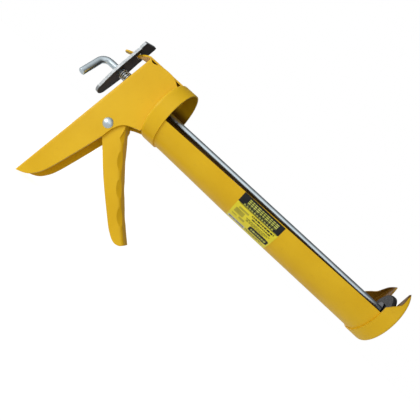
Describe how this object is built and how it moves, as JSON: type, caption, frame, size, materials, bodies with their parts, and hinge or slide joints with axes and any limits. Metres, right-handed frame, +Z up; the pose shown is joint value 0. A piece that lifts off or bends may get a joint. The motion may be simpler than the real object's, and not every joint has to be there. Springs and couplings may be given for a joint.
{
  "type": "caulking gun",
  "caption": "Half-barrel caulking gun: open sheet-steel cradle for a sealant cartridge, hooked push rod with a plunger, folded grip and trigger, and a release plate.",
  "frame": {"origin": "on the push rod's axis, at the face in the rear cup that the cartridge's base seats against", "axes": "+X forward along the rod to the nozzle, +Z up, +Y across to the left of a user who holds it; the grip hangs towards -Z and the label is on the -Y side"},
  "size_m": [0.3204, 0.0586, 0.1579],
  "materials": {
    "yellow_enamel": "glossy baked enamel on pressed sheet steel, worn at the edges",
    "zinc_plate": "bright zinc plate, drawn along the rod",
    "black_oxide": "black oxide on the faces, bright bare metal on the sheared edges",
    "spring_wire": "oiled dark spring wire",
    "dark_plate": "dark phosphated pressed steel",
    "label_film": "printed self-adhesive film"
  },
  "bodies": {
    "frame": {"rear_cup": "yellow_enamel", "rod_guide": "zinc_plate", "cradle": "yellow_enamel", "front_cap": "yellow_enamel", "handle_frame": "yellow_enamel", "top_strap": "yellow_enamel", "trigger_rivet": "zinc_plate", "pivot_sleeve": "zinc_plate", "label": "label_film", "drive_spring": "spring_wire", "release_spring": "spring_wire"},
    "trigger": {"trigger": "yellow_enamel"},
    "drive": {"drive_plate_rear": "zinc_plate", "drive_plate_front": "zinc_plate", "spring_washer": "zinc_plate"},
    "plunger": {"plunger_disc": "dark_plate"},
    "rod": {"push_rod": "zinc_plate", "plunger_washer": "zinc_plate", "plunger_nut": "zinc_plate"},
    "release": {"release_plate": "black_oxide"}
  },
  "joints": [
    {"name": "trigger_pull", "type": "hinge", "parent": "frame", "child": "trigger", "pos_m": [-0.0257, 0, -0.0394], "axis": [0, 1, 0], "range_deg": [0, 34], "stiffness_Nm_per_rad": 0.65, "springref_deg": -20.05},
    {"name": "drive_slide", "type": "slide", "parent": "frame", "child": "drive", "axis": [1, 0, 0], "range_m": [0, 0.0142], "deforming": ["drive_spring"]},
    {"name": "rod_slide", "type": "slide", "parent": "frame", "child": "plunger", "axis": [1, 0, 0], "range_m": [-0.232, 0]},
    {"name": "rod_spin", "type": "hinge", "parent": "plunger", "child": "rod", "pos_m": [0, 0, 0], "axis": [1, 0, 0], "continuous": true},
    {"name": "release_tilt", "type": "hinge", "parent": "frame", "child": "release", "pos_m": [-0.0501, 0, 0.0204], "axis": [0, -1, 0], "range_deg": [0, 6.5], "stiffness_Nm_per_rad": 0.8, "springref_deg": -5.73, "deforming": ["release_spring"]}
  ],
  "couplings": [
    {"joint": "drive_slide", "follows": "trigger_pull", "m_per_rad": 0.02365}
  ]
}
